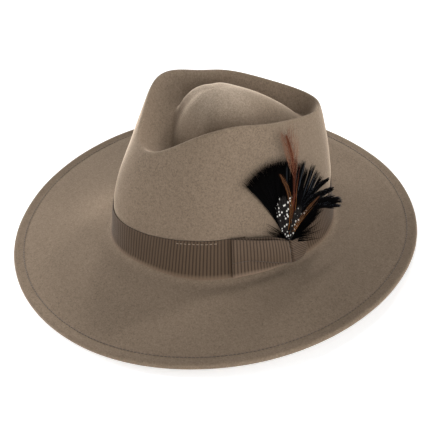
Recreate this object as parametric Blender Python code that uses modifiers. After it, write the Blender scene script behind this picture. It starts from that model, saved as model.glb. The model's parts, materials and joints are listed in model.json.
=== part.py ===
"""A wide-brim felt fedora: teardrop crown, hemmed brim, ribbon band with a flat bow, a feather trim
that pulls out of the bow, and a leather sweatband and satin lining inside.

Metres, +Z up. The hat stands on its brim at z = 0. The front is -Y and the wearer's left is +X.
Angles go around the hat from the front (0) past the wearer's left (90 degrees) to the back (180).
"""

import math

import bmesh
import bpy
from mathutils import Vector

# Head and felt
HEAD_HALF_WIDTH = 0.0870
HEAD_HALF_LENGTH = 0.1050
HEAD_SET_BACK = 0.0057
FELT = 0.0020

# Brim
BRIM_HALF_WIDTH = 0.1776
BRIM_HALF_LENGTH = 0.1826
HEM_DEPTH = 0.0125
HEM_THICKNESS = 0.0056
STITCH_INSET = 0.0095
STITCH_SINK = 0.0010
WIRE_RADIUS = 0.0005
THREAD_RADIUS = 0.0002

# Ribbon, sweatband and lining
RIBBON_WIDTH = 0.0360
RIBBON = 0.0006
SWEATBAND_WIDTH = 0.0340
SWEATBAND = 0.0011
LINING = 0.0004
LINING_TIP_HEIGHT = 0.0860
GAP = 0.0004

# Bow and feather trim, in degrees around the hat
BOW_FOLD = 77.0
BOW_PINCH = 105.5
BOW_TAIL_END = 118.0
BOW_TOP = 0.0385
BOW_PINCH_FALL = 0.0160
BOW_RIBBON = 0.0005
PLEAT_SHARE = 0.34
PLEAT_LIFT = 0.0012
BAND_ENDS = (112.0, 84.0)
TRIM_ANGLE = 106.5
TRIM_HEIGHT = 0.0200
TRIM_LEAN_HEIGHT = 0.0600
FEATHER = 0.0002
FEATHER_PITCH = 0.0004
QUILL_HALF_WIDTH = 0.0005
FEATHER_START = 0.0010

COLUMNS = 48
RING_COLUMNS = 48


def both_sides(values):
    """The same values on the wearer's left and right, listed evenly from the front to the back."""
    return tuple(values) + tuple(values[-2:0:-1])


# Millimetres at even angles around the hat, from the front
CREST_RADIUS = (69, 63, 58.5, 54.5, 57.5, 72, 94, 80, 58, 51.5, 59, 60.5)
CREST_HEIGHT = (109.5, 121.5, 139.5, 141, 132, 120, 107, 112, 129, 136.5, 140, 124)
BREAK_HEIGHT = both_sides((16.9, 17.2, 13.7, 5.0, 3.2))
BREAK_INSET = both_sides((6.5, 6.8, -1.5, 0, 0, 0, 0))
BELLY = both_sides((21, 13, 10, 10, 10, 10, 10))
EDGE_HEIGHT = both_sides((2.5, 2.6, 5.0, 7.0, 7.8, 4.6, 2.4))
VALLEY_DROP = both_sides((15, 17.5, 27, 30.5, 26.5, 22.5, 14.5))
VALLEY_REACH = both_sides((0.60, 0.64, 0.70, 0.75, 0.775, 0.81, 0.85))
BUMP_FALL = both_sides((2.8, 2.4, 2.6, 2.6, 2.4, 1.9, 1.6))
CREST_CENTRE_Y = HEAD_SET_BACK + 0.0035
TIP_CENTRE = Vector((0, HEAD_SET_BACK + 0.0050, 0.1450))

MATERIALS = {
    "felt": ((0.235, 0.172, 0.122), 0.90, 0.0),
    "ribbon": ((0.084, 0.056, 0.039), 0.75, 0.0),
    "thread": ((0.055, 0.040, 0.030), 0.70, 0.0),
    "wire": ((0.55, 0.55, 0.56), 0.35, 1.0),
    "leather": ((0.16, 0.075, 0.035), 0.55, 0.0),
    "satin": ((0.30, 0.24, 0.18), 0.35, 0.0),
    "plastic": ((0.75, 0.73, 0.68), 0.45, 0.0),
    "black_feather": ((0.010, 0.010, 0.012), 0.60, 0.0),
    "brown_feather": ((0.18, 0.055, 0.020), 0.60, 0.0),
    "spotted_feather": ((0.10, 0.10, 0.10), 0.60, 0.0),
    "label": ((0.62, 0.58, 0.50), 0.60, 0.0),
}


def clear_scene():
    for existing in list(bpy.data.objects):
        bpy.data.objects.remove(existing, do_unlink=True)


def material(slot):
    made = bpy.data.materials.get(slot)
    if made:
        return made
    colour, roughness, metallic = MATERIALS[slot]
    made = bpy.data.materials.new(slot)
    made.use_nodes = True
    shader = made.node_tree.nodes["Principled BSDF"]
    shader.inputs["Base Color"].default_value = (*colour, 1.0)
    shader.inputs["Roughness"].default_value = roughness
    shader.inputs["Metallic"].default_value = metallic
    return made


def place(name, data, slot):
    made = bpy.data.objects.new(name, data)
    data.materials.append(material(slot))
    HAT.objects.link(made)
    return made


def around(values, angle):
    """A smooth closed curve through values spaced evenly around the hat, read at one angle."""
    half = len(values) // 2
    total = 0.0
    for step, value in enumerate(values):
        turn = angle - math.pi * step / half
        weight = 1 + math.cos(half * turn)
        for wave in range(1, half):
            weight += 2 * math.cos(wave * turn)
        total += value * weight
    return total / len(values)


def outward(angle):
    return Vector((math.sin(angle), -math.cos(angle), 0))


def with_height(point, height):
    return Vector((point.x, point.y, height))


def crest_point(angle):
    point = outward(angle) * around(CREST_RADIUS, angle) / 1000
    return Vector((point.x, point.y + CREST_CENTRE_Y, around(CREST_HEIGHT, angle) / 1000))


def break_point(angle):
    """Where the crown's wall meets the brim."""
    inset = around(BREAK_INSET, angle) / 1000
    x = (HEAD_HALF_WIDTH - inset) * math.sin(angle)
    y = HEAD_SET_BACK - (HEAD_HALF_LENGTH - inset) * math.cos(angle)
    return Vector((x, y, around(BREAK_HEIGHT, angle) / 1000))


def edge_point(angle):
    """The brim's outermost line, halfway up its hem, which lies flat where the hat rests on it."""
    height = max(around(EDGE_HEIGHT, angle) / 1000, HEM_THICKNESS / 2)
    return Vector((BRIM_HALF_WIDTH * math.sin(angle), -BRIM_HALF_LENGTH * math.cos(angle), height))


def tip_cage(angle):
    """The dented top, from its centre over the valley to the crest's inner side."""
    crest = crest_point(angle)
    valley = crest.z - around(VALLEY_DROP, angle) / 1000
    reach = around(VALLEY_REACH, angle)

    def across(share, height):
        return with_height(TIP_CENTRE.lerp(crest, share), height)

    cage = []
    power = around(BUMP_FALL, angle)
    for share in (0.0, 0.25, 0.50, 0.72, 0.88):
        cage.append(across(reach * share, TIP_CENTRE.z + (valley - TIP_CENTRE.z) * share**power))
    cage.append(across(reach, valley - 0.0020))
    for share, rise in ((0.45, 0.22), (0.82, 0.75)):
        cage.append(across(reach + (1 - reach) * share, valley + (crest.z - valley) * rise))
    cage.append(across(1.0, crest.z + 0.0020))
    return cage


def wall_cage(angle):
    """The crown's wall, from the crest down to the break."""
    crest = crest_point(angle)
    base = break_point(angle)
    belly = base.lerp(crest, 0.62) + outward(angle) * (around(BELLY, angle) / 1000)

    def down(share):
        return crest.lerp(belly, share).lerp(belly.lerp(base, share), share)

    cage = [down(0.06) + outward(angle) * 0.0010]
    cage += [down(share) for share in (0.22, 0.45, 0.70, 0.88)]
    cage.append(with_height(base, base.z - 0.0025))
    return cage


def brim_cage(angle):
    """The brim, its rolled edge and the hem's flap underneath."""
    base = break_point(angle)
    edge = edge_point(angle)
    top = edge.z + HEM_THICKNESS / 2
    bottom = edge.z - HEM_THICKNESS / 2
    inward = with_height(base - edge, 0).normalized()
    cage = []
    for share in (0.14, 0.42, 0.72):
        fall = 1 - (1 - share) ** 1.6
        cage.append(with_height(base.lerp(edge, share), base.z + (top - base.z) * fall))
    hem = (
        (0.0140, top),
        (STITCH_INSET, top - 0.0004),
        (0.0040, top),
        (0.0002, top),
        (0.0002, bottom),
        (0.0030, bottom),
        (0.0052, bottom),
        (0.0072, bottom),
        (STITCH_INSET, bottom + STITCH_SINK),
        (HEM_DEPTH, bottom + STITCH_SINK),
    )
    for inset, height in hem:
        cage.append(with_height(edge + inward * inset, height))
    return cage


def smoothed(cage):
    """The points where a cubic B-spline over the cage passes closest to each cage point."""
    points = [cage[0]]
    for before, here, after in zip(cage, cage[1:], cage[2:]):
        points.append((before + 4 * here + after) / 6)
    points.append(cage[-1])
    return points


def felt_section(angle):
    """The felt's outer face at one angle, from the tip's centre to the hem flap's end."""
    return smoothed(tip_cage(angle) + wall_cage(angle) + brim_cage(angle))


BREAK_INDEX = len(tip_cage(0.0) + wall_cage(0.0)) - 1


def wall_point(degrees, height, out):
    """A point on the crown's wall: its height along the felt above the break, and its distance off."""
    angle = math.radians(degrees)
    section = felt_section(angle)
    index = BREAK_INDEX
    left = height
    while left > (section[index - 1] - section[index]).length:
        left -= (section[index - 1] - section[index]).length
        index -= 1
    along = (section[index - 1] - section[index]).normalized()
    normal = (outward(angle) - along * outward(angle).dot(along)).normalized()
    return section[index] + along * left + normal * out


def column_angles(count):
    """Even angles, with a column's middle, not its edge, at the front and at the back."""
    return [2 * math.pi * (step + 0.5) / count for step in range(count)]


def loft(name, rows, slot, round_the_hat=True, fill_first=False, fill_last=False, close_rows=False):
    """A surface through rows of points; rows run around the hat unless round_the_hat is off."""
    mesh = bmesh.new()
    grid = [[mesh.verts.new(point) for point in row] for row in rows]
    if close_rows:
        grid.append(grid[0])
    for lower, upper in zip(grid, grid[1:]):
        count = len(lower) if round_the_hat else len(lower) - 1
        for step in range(count):
            following = (step + 1) % len(lower)
            mesh.faces.new((lower[step], lower[following], upper[following], upper[step]))
    if fill_first:
        mesh.faces.new(grid[0])
    if fill_last:
        mesh.faces.new(grid[-1])
    bmesh.ops.recalc_face_normals(mesh, faces=mesh.faces)
    data = bpy.data.meshes.new(name)
    mesh.to_mesh(data)
    mesh.free()
    data.shade_smooth()
    return place(name, data, slot)


def thicken(piece, thickness, offset):
    solidify = piece.modifiers.new("thickness", "SOLIDIFY")
    solidify.thickness = thickness
    solidify.offset = offset
    solidify.use_even_offset = True


def tube(name, points, radius, slot, closed):
    """A round wire or thread along points."""
    data = bpy.data.curves.new(name, "CURVE")
    data.dimensions = "3D"
    data.bevel_depth = radius
    data.bevel_resolution = 2
    data.use_fill_caps = not closed
    spline = data.splines.new("POLY")
    spline.points.add(len(points) - 1)
    for target, point in zip(spline.points, points):
        target.co = (*point, 1.0)
    spline.use_cyclic_u = closed
    return place(name, data, slot)


def felt_body():
    """One felt sheet: a fan of the first rows closes the tip, and Solidify gives the thickness."""
    sections = [felt_section(angle) for angle in column_angles(COLUMNS)]
    mesh = bmesh.new()
    centre = mesh.verts.new(sections[0][0])
    rows = []
    for index in range(1, len(sections[0])):
        rows.append([mesh.verts.new(section[index]) for section in sections])
    for step in range(COLUMNS):
        following = (step + 1) % COLUMNS
        mesh.faces.new((centre, rows[0][step], rows[0][following]))
        for inner, outer in zip(rows, rows[1:]):
            mesh.faces.new((inner[step], outer[step], outer[following], inner[following]))
    mesh.normal_update()
    data = bpy.data.meshes.new("felt_body")
    mesh.to_mesh(data)
    mesh.free()
    data.shade_smooth()
    thicken(place("felt_body", data, "felt"), FELT, -1)


def brim_line(angle, inset, height):
    """A point under or over the hem: inset from the edge, height above the hem's middle."""
    edge = edge_point(angle)
    inward = with_height(break_point(angle) - edge, 0).normalized()
    return with_height(edge + inward * inset, edge.z + height)


def brim_lines():
    """The wire in the hem's fold, and the two threads of its lockstitch."""
    angles = column_angles(RING_COLUMNS)
    half = HEM_THICKNESS / 2
    wire = [brim_line(angle, 0.0042, 0) for angle in angles]
    tube("brim_wire", wire, WIRE_RADIUS, "wire", True)
    above = half + THREAD_RADIUS + 0.0002
    needle = [brim_line(angle, STITCH_INSET, above) for angle in angles]
    tube("hem_needle_thread", needle, THREAD_RADIUS, "thread", True)
    below = -half + 0.0005 - THREAD_RADIUS
    bobbin = [brim_line(angle, STITCH_INSET, below) for angle in angles]
    tube("hem_bobbin_thread", bobbin, THREAD_RADIUS, "thread", True)


def wall_strip(name, stations, low, high, thickness, slot, levels=(0, 0.33, 0.67, 1)):
    """A ribbon on the wall between the heights low and high, each worked out from the angle.

    Stations are (degrees, distance off the felt, extra lift of the ribbon's upper pleat)."""
    strip = []
    for share in levels:
        row = []
        for degrees, out, pleat in stations:
            height = low(degrees) + (high(degrees) - low(degrees)) * share
            row.append(wall_point(degrees, height, out + pleat * (share > PLEAT_SHARE)))
        strip.append(row)
    piece = loft(name, strip, slot, round_the_hat=False)
    thicken(piece, thickness, 0)


def between(start, end, count):
    return [start + (end - start) * step / (count - 1) for step in range(count)]


def band_low(degrees):
    return 0.0035


def band_high(degrees):
    return 0.0035 + RIBBON_WIDTH * 0.92


def loop_share(degrees):
    """How far along the loop from its front fold (0) to the pinch (1)."""
    return (degrees - BOW_FOLD) / (BOW_PINCH - BOW_FOLD)


def loop_high(degrees):
    return BOW_TOP - BOW_PINCH_FALL * max(loop_share(degrees), 0) ** 1.7


def tail_share(degrees):
    """How far along the tail from the pinch (0) to its free end (1)."""
    return (degrees - BOW_PINCH) / (BOW_TAIL_END - BOW_PINCH)


def tail_low(degrees):
    return 0.0035 + 0.0030 * tail_share(degrees)


def tail_high(degrees):
    return BOW_TOP - BOW_PINCH_FALL - 0.0045 * tail_share(degrees)


def hatband():
    """A ribbon once around the crown, with its two ends under the bow."""
    first, last = BAND_ENDS
    stations = [(degrees, GAP + RIBBON / 2, 0) for degrees in between(first, last + 360, 91)]
    wall_strip("hatband", stations, band_low, band_high, RIBBON, "ribbon")
    thread = [wall_point(degrees, 0.0330, GAP + RIBBON + 0.0006) for degrees in between(51, 66, 6)]
    tube("band_tack_thread", thread, THREAD_RADIUS, "thread", False)


def bow_loop():
    """A ribbon folded back on itself at the front, its two ends caught at the pinch."""
    inner = []
    outer = []
    for degrees in between(BOW_PINCH - 0.4, BOW_FOLD + 1.2, 9):
        share = loop_share(degrees)
        inner.append((degrees, 0.0019 + 0.0034 * share**2, 0))
        outer.append((degrees, 0.0044 + 0.0022 * share, PLEAT_LIFT * share))
    fold = [(BOW_FOLD + 0.3, 0.0022, 0), (BOW_FOLD, 0.0031, 0), (BOW_FOLD + 0.3, 0.0041, 0)]
    levels = (0, PLEAT_SHARE, PLEAT_SHARE + 0.06, 1)
    wall_strip("bow_loop", inner + fold + outer[::-1], band_low, loop_high, BOW_RIBBON, "ribbon", levels)


def bow_tail():
    """The ribbon's pleated end behind the pinch, which lies down on the band."""
    pleat = 0.0003
    stations = []
    for step, degrees in enumerate(between(BOW_PINCH + 0.4, BOW_TAIL_END, 9)):
        lift = 0.0064 - 0.0044 * math.sin(tail_share(degrees) * math.pi / 2)
        stations.append((degrees, lift + pleat * (-1) ** step, 0))
    wall_strip("bow_tail", stations, tail_low, tail_high, BOW_RIBBON, "ribbon")


def trim_frame():
    """The feather trim's root and its directions: rearward, up and away from the crown."""
    root = wall_point(TRIM_ANGLE, TRIM_HEIGHT, 0)
    up = (wall_point(TRIM_ANGLE, TRIM_LEAN_HEIGHT, 0) - root).normalized()
    side = wall_point(TRIM_ANGLE + 1, TRIM_HEIGHT, 0) - wall_point(TRIM_ANGLE - 1, TRIM_HEIGHT, 0)
    rearward = (side - up * side.dot(up)).normalized()
    return root, rearward, up, rearward.cross(up)


def flat_piece(name, outline, out, thickness, slot):
    """A flat outline parallel to the crown, given in the trim's own rearward and up directions."""
    root, rearward, up, away = trim_frame()
    data = bpy.data.curves.new(name, "CURVE")
    data.dimensions = "2D"
    data.fill_mode = "BOTH"
    data.extrude = thickness / 2
    spline = data.splines.new("POLY")
    spline.points.add(len(outline) - 1)
    for target, (x, y) in zip(spline.points, outline):
        target.co = (x, y, 0, 1)
    spline.use_cyclic_u = True
    piece = place(name, data, slot)
    matrix = piece.matrix_world.copy()
    for column, axis in enumerate((rearward, up, away)):
        for row in range(3):
            matrix[row][column] = axis[row]
    centre = root + away * (out + thickness / 2)
    for row in range(3):
        matrix[row][3] = centre[row]
    piece.matrix_world = matrix


def leaf(tip, bend, width, widest):
    """A feather's outline: a quill from the root over a bend to the tip, in a rounded vane."""
    right = []
    left = []
    for step in range(10):
        along = step / 9
        middle = bend * (2 * along * (1 - along)) + tip * along**2
        course = (bend * (1 - 2 * along) + tip * along).normalized()
        rise = math.sin(math.pi * min(along / widest, 1) / 2)
        fall = math.cos(math.pi * max((along - widest) / (1 - widest), 0) / 2)
        half = QUILL_HALF_WIDTH + (width / 2 - QUILL_HALF_WIDTH) * rise**2 * fall**0.6
        half = max(half * (along < 1), 0.0001)
        aside = Vector((course.y, -course.x)) * half
        right.append(middle + aside)
        left.append(middle - aside)
    return right + left[::-1]


def feather_point(across, up):
    """A point of the trim in millimetres from its root, made into metres."""
    return Vector((across, up)) / 1000


def fan(radius_start, radius_end, first, last):
    """A fan-shaped feather between two leans, in degrees, with its own radius at each side."""
    points = [(-0.0008, 0.0), (0.0008, 0.0)]
    for step in range(9):
        share = step / 8
        turn = math.radians(last + (first - last) * share)
        radius = radius_end + (radius_start - radius_end) * share
        points.append((radius * math.sin(turn), radius * math.cos(turn)))
    return points


def feather_trim():
    """Quills bound in one bundle behind the bow, with the feathers layered away from the crown."""
    at = feather_point
    feathers = (
        ("black_fan_feather", fan(0.077, 0.078, -22, 12), "black_feather"),
        ("black_side_feather", fan(0.074, 0.067, 10, 45), "black_feather"),
        ("biot_feather_1", leaf(at(52, 37), at(9, 30), 0.008, 0.7), "black_feather"),
        ("biot_feather_2", leaf(at(54.5, 26), at(9, 32), 0.008, 0.7), "black_feather"),
        ("biot_feather_3", leaf(at(55, 12), at(12, 35), 0.008, 0.7), "black_feather"),
        ("tall_hackle", leaf(at(16.5, 94), at(5, 45), 0.019, 0.7), "brown_feather"),
        ("striped_hackle_front", leaf(at(4, 62), at(4, 30), 0.006, 0.6), "brown_feather"),
        ("striped_hackle_rear", leaf(at(37, 24), at(8, 24), 0.006, 0.7), "brown_feather"),
        ("guinea_feather_front", leaf(at(3, 40), at(-3, 20), 0.013, 0.55), "spotted_feather"),
        ("guinea_feather_rear", leaf(at(17, 20), at(5, 15), 0.009, 0.6), "spotted_feather"),
    )
    for layer, (name, outline, slot) in enumerate(feathers):
        flat_piece(name, outline, FEATHER_START + FEATHER_PITCH * layer, FEATHER, slot)


def quill_binding():
    """The thread-wrapped bundle of quills that is tucked between the bow and the crown."""
    root, rearward, up, away = trim_frame()
    rows = []
    for drop, scale in ((-0.0006, 0.85), (-0.0016, 1.0), (-0.0120, 1.0), (-0.0150, 0.6)):
        centre = root + up * drop + away * 0.0029
        row = []
        for step in range(16):
            turn = math.tau * step / 16
            across = rearward * math.cos(turn) * 0.0038 + away * math.sin(turn) * 0.0018
            row.append(centre + across * scale)
        rows.append(row)
    loft("quill_binding", rows, "thread", fill_first=True, fill_last=True)


def inner_point(angle, height, clearance):
    """A point inside the crown's wall, at a height above the break."""
    return wall_point(math.degrees(angle), height, -FELT - clearance)


def inner_ring(name, levels, thickness, slot):
    """A ring of thin material inside the wall: levels are (height, clearance from the felt)."""
    angles = column_angles(RING_COLUMNS)
    rows = [[inner_point(angle, height, clearance) for angle in angles] for height, clearance in levels]
    piece = loft(name, rows, slot)
    thicken(piece, thickness, 0)
    return piece


def inside():
    """The sweatband with its reed and thread, the lining and a blank size label."""
    middle = 0.0006 + SWEATBAND / 2
    inner_ring("sweatband", ((0.0045, middle), (0.020, middle), (SWEATBAND_WIDTH, middle)), SWEATBAND, "leather")
    angles = column_angles(RING_COLUMNS)
    reed = [inner_point(angle, 0.0028, middle) for angle in angles]
    tube("sweatband_reed", reed, 0.0009, "plastic", True)
    stitches = [inner_point(angle, 0.0080, 0.0006 + SWEATBAND + 0.0005) for angle in angles]
    tube("sweatband_thread", stitches, THREAD_RADIUS, "thread", True)
    lining()
    size_label()


def lining():
    """A satin side strip gathered to a flat oval tip, hung inside the crown."""
    angles = column_angles(RING_COLUMNS)
    start = SWEATBAND_WIDTH + 0.0010
    side = [[inner_point(angle, start, 0.0016) for angle in angles]]
    for height, share in ((0.060, 0.66), (LINING_TIP_HEIGHT, 0.54)):
        row = []
        for angle in angles:
            base = break_point(angle)
            row.append(Vector((base.x * (share + 0.06), base.y * share + 0.004, height)))
        side.append(row)
    thicken(loft("lining_side", side, "satin"), LINING, 0)
    tip = [Vector((point.x * 0.97, point.y * 0.97, LINING_TIP_HEIGHT + 0.0005)) for point in side[-1]]
    lower = [Vector((point.x, point.y, point.z - LINING)) for point in tip]
    loft("lining_tip", [lower, tip], "satin", fill_first=True, fill_last=True)


def size_label():
    """A blank cloth tag on the sweatband's inner face at the back."""
    rows = []
    for height in (0.014, 0.031):
        clearance = 0.0006 + SWEATBAND + 0.0008
        rows.append([wall_point(degrees, height, -FELT - clearance) for degrees in between(173, 187, 5)])
    thicken(loft("size_label", rows, "label", round_the_hat=False), 0.0004, 0)


clear_scene()
HAT = bpy.data.collections.new("fedora_hat")
bpy.context.scene.collection.children.link(HAT)
felt_body()
brim_lines()
hatband()
bow_loop()
bow_tail()
quill_binding()
feather_trim()
inside()
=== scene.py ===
"""Looks for a wide-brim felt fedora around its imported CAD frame."""

import json
import math

import bpy
import numpy as np
from mathutils import Matrix, Vector


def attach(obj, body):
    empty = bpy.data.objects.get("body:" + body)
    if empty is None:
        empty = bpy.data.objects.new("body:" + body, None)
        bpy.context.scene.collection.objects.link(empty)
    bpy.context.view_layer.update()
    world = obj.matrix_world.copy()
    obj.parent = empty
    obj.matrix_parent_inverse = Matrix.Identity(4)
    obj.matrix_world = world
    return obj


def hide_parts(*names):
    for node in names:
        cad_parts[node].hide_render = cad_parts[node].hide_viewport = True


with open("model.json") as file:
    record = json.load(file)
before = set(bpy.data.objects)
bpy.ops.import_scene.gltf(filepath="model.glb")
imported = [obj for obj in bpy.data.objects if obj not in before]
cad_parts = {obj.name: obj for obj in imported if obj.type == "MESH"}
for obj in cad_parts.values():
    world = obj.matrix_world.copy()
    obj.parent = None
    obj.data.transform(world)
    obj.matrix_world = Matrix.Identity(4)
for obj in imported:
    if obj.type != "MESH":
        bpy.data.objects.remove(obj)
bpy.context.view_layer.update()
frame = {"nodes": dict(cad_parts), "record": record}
RNG = np.random.default_rng(7)

# ---------------------------------------------------------------- hat shape, as in the CAD (metres)
HEAD_HALF_WIDTH, HEAD_HALF_LENGTH, HEAD_SET_BACK = 0.0870, 0.1050, 0.0057
BRIM_HALF_WIDTH, BRIM_HALF_LENGTH = 0.1776, 0.1826
HEM_THICKNESS, HEM_DEPTH, STITCH_INSET, STITCH_SINK = 0.0056, 0.0125, 0.0095, 0.0010
FELT = 0.0020


def both_sides(values):
    return tuple(values) + tuple(values[-2:0:-1])


CREST_RADIUS = (69, 63, 58.5, 54.5, 57.5, 72, 94, 80, 58, 51.5, 59, 60.5)
CREST_HEIGHT = (109.5, 121.5, 139.5, 141, 132, 120, 107, 112, 129, 136.5, 140, 124)
BREAK_HEIGHT = both_sides((16.9, 17.2, 13.7, 5.0, 3.2))
BREAK_INSET = both_sides((6.5, 6.8, -1.5, 0, 0, 0, 0))
BELLY = both_sides((21, 13, 10, 10, 10, 10, 10))
EDGE_HEIGHT = both_sides((2.5, 2.6, 5.0, 7.0, 7.8, 4.6, 2.4))
VALLEY_DROP = both_sides((15, 17.5, 27, 30.5, 26.5, 22.5, 14.5))
VALLEY_REACH = both_sides((0.60, 0.64, 0.70, 0.75, 0.775, 0.81, 0.85))
BUMP_FALL = both_sides((2.8, 2.4, 2.6, 2.6, 2.4, 1.9, 1.6))
CREST_CENTRE_Y = HEAD_SET_BACK + 0.0035
TIP_CENTRE = np.array([0.0, HEAD_SET_BACK + 0.0050, 0.1450])
BREAK_INDEX = 14


def around(values, angles):
    """A smooth closed curve through values spaced evenly around the hat."""
    half = len(values) // 2
    total = np.zeros_like(angles)
    for step, value in enumerate(values):
        turn = angles - math.pi * step / half
        weight = 1 + np.cos(half * turn)
        for wave in range(1, half):
            weight = weight + 2 * np.cos(wave * turn)
        total = total + value * weight
    return total / len(values)


def outward(angles):
    return np.stack([np.sin(angles), -np.cos(angles), np.zeros_like(angles)], -1)


def with_height(points, height):
    result = points.copy()
    result[..., 2] = height
    return result


def crest_points(angles):
    points = outward(angles) * (around(CREST_RADIUS, angles) / 1000)[:, None]
    points[:, 1] += CREST_CENTRE_Y
    points[:, 2] = around(CREST_HEIGHT, angles) / 1000
    return points


def break_points(angles):
    inset = around(BREAK_INSET, angles) / 1000
    x = (HEAD_HALF_WIDTH - inset) * np.sin(angles)
    y = HEAD_SET_BACK - (HEAD_HALF_LENGTH - inset) * np.cos(angles)
    return np.stack([x, y, around(BREAK_HEIGHT, angles) / 1000], -1)


def edge_points(angles):
    z = np.maximum(around(EDGE_HEIGHT, angles) / 1000, HEM_THICKNESS / 2)
    return np.stack([BRIM_HALF_WIDTH * np.sin(angles), -BRIM_HALF_LENGTH * np.cos(angles), z], -1)


def felt_cage(angles):
    """The cage of the felt's outer face: 28 points from the tip's centre to the hem flap's end."""
    crest, base, edge = crest_points(angles), break_points(angles), edge_points(angles)
    valley = crest[:, 2] - around(VALLEY_DROP, angles) / 1000
    reach = around(VALLEY_REACH, angles)[:, None]

    def across(share, height):
        return with_height(TIP_CENTRE + (crest - TIP_CENTRE) * share, height)

    cage = []
    power = around(BUMP_FALL, angles)
    for share in (0.0, 0.25, 0.50, 0.72, 0.88):
        cage.append(across(reach * share, TIP_CENTRE[2] + (valley - TIP_CENTRE[2]) * share**power))
    cage.append(across(reach, valley - 0.0020))
    for share, rise in ((0.45, 0.22), (0.82, 0.75)):
        cage.append(across(reach + (1 - reach) * share, valley + (crest[:, 2] - valley) * rise))
    cage.append(across(1.0, crest[:, 2] + 0.0020))
    belly = base + (crest - base) * 0.62 + outward(angles) * (around(BELLY, angles) / 1000)[:, None]
    for share in (0.06, 0.22, 0.45, 0.70, 0.88):
        upper = crest + (belly - crest) * share
        point = upper + (belly + (base - belly) * share - upper) * share
        cage.append(point + outward(angles) * (0.0010 if share == 0.06 else 0))
    cage.append(with_height(base, base[:, 2] - 0.0025))
    top, bottom = edge[:, 2] + HEM_THICKNESS / 2, edge[:, 2] - HEM_THICKNESS / 2
    inward = with_height(base - edge, 0)
    inward /= np.linalg.norm(inward, axis=1)[:, None]
    for share in (0.14, 0.42, 0.72):
        fall = 1 - (1 - share) ** 1.6
        cage.append(with_height(base + (edge - base) * share, base[:, 2] + (top - base[:, 2]) * fall))
    hem = (
        (0.0140, top), (STITCH_INSET, top - 0.0011), (0.0040, top), (0.0002, top),
        (0.0002, bottom), (0.0030, bottom), (0.0052, bottom), (0.0072, bottom),
        (STITCH_INSET, bottom + STITCH_SINK), (HEM_DEPTH, bottom + STITCH_SINK),
    )
    for inset, height in hem:
        cage.append(with_height(edge + inward * inset, height))
    return np.array(cage)


def spline(cage, params):
    """A cubic B-spline through the cage's first axis, read at params counted in cage points."""
    padded = np.concatenate([[2 * cage[0] - cage[1]], cage, [2 * cage[-1] - cage[-2]]])
    params = np.asarray(params, float)
    index = np.clip(np.floor(params).astype(int), 0, len(cage) - 2)
    t = (params - index).reshape(-1, *([1] * (cage.ndim - 1)))
    a, b, c, d = (padded[index + k] for k in range(4))
    total = (1 - t) ** 3 * a + (3 * t**3 - 6 * t**2 + 4) * b
    return (total + (-3 * t**3 + 3 * t**2 + 3 * t + 1) * c + t**3 * d) / 6


def wall(degrees, heights, out=0.0):
    """Points on the crown's wall: angle, height along the felt above the break, distance off it."""
    degrees, heights, out = np.broadcast_arrays(
        np.asarray(degrees, float), np.asarray(heights, float), np.asarray(out, float)
    )
    shape = degrees.shape
    unique, inverse = np.unique(degrees.ravel(), return_inverse=True)
    angles = np.radians(unique)
    line = spline(felt_cage(angles), np.linspace(BREAK_INDEX, 9.5, 46))
    lengths = np.linalg.norm(np.diff(line, axis=0), axis=-1)
    along = np.concatenate([np.zeros((1, len(unique))), np.cumsum(lengths, axis=0)])
    course = np.gradient(line, axis=0)
    course /= np.linalg.norm(course, axis=-1)[..., None]
    result = np.empty((inverse.size, 3))
    flat_heights, flat_out = heights.ravel(), out.ravel()
    for column in range(len(unique)):
        mine = np.nonzero(inverse == column)[0]
        for axis in range(3):
            result[mine, axis] = np.interp(flat_heights[mine], along[:, column], line[:, column, axis])
        low = flat_heights[mine] < 0
        result[mine[low], 2] += flat_heights[mine[low]]
        direction = np.stack(
            [np.interp(flat_heights[mine], along[:, column], course[:, column, axis])
             for axis in range(3)], -1
        )
        away = outward(angles[column : column + 1])
        normal = away - direction * (direction @ away[0])[:, None]
        normal /= np.linalg.norm(normal, axis=1)[:, None]
        result[mine] += normal * flat_out[mine][:, None]
    return result.reshape(*shape, 3)


# ---------------------------------------------------------------- materials
def srgb(red, green, blue):
    """Linear colour from 0-255 display values."""
    channels = [value / 255 for value in (red, green, blue)]
    linear = [c / 12.92 if c <= 0.04045 else ((c + 0.055) / 1.055) ** 2.4 for c in channels]
    return (*linear, 1.0)


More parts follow.
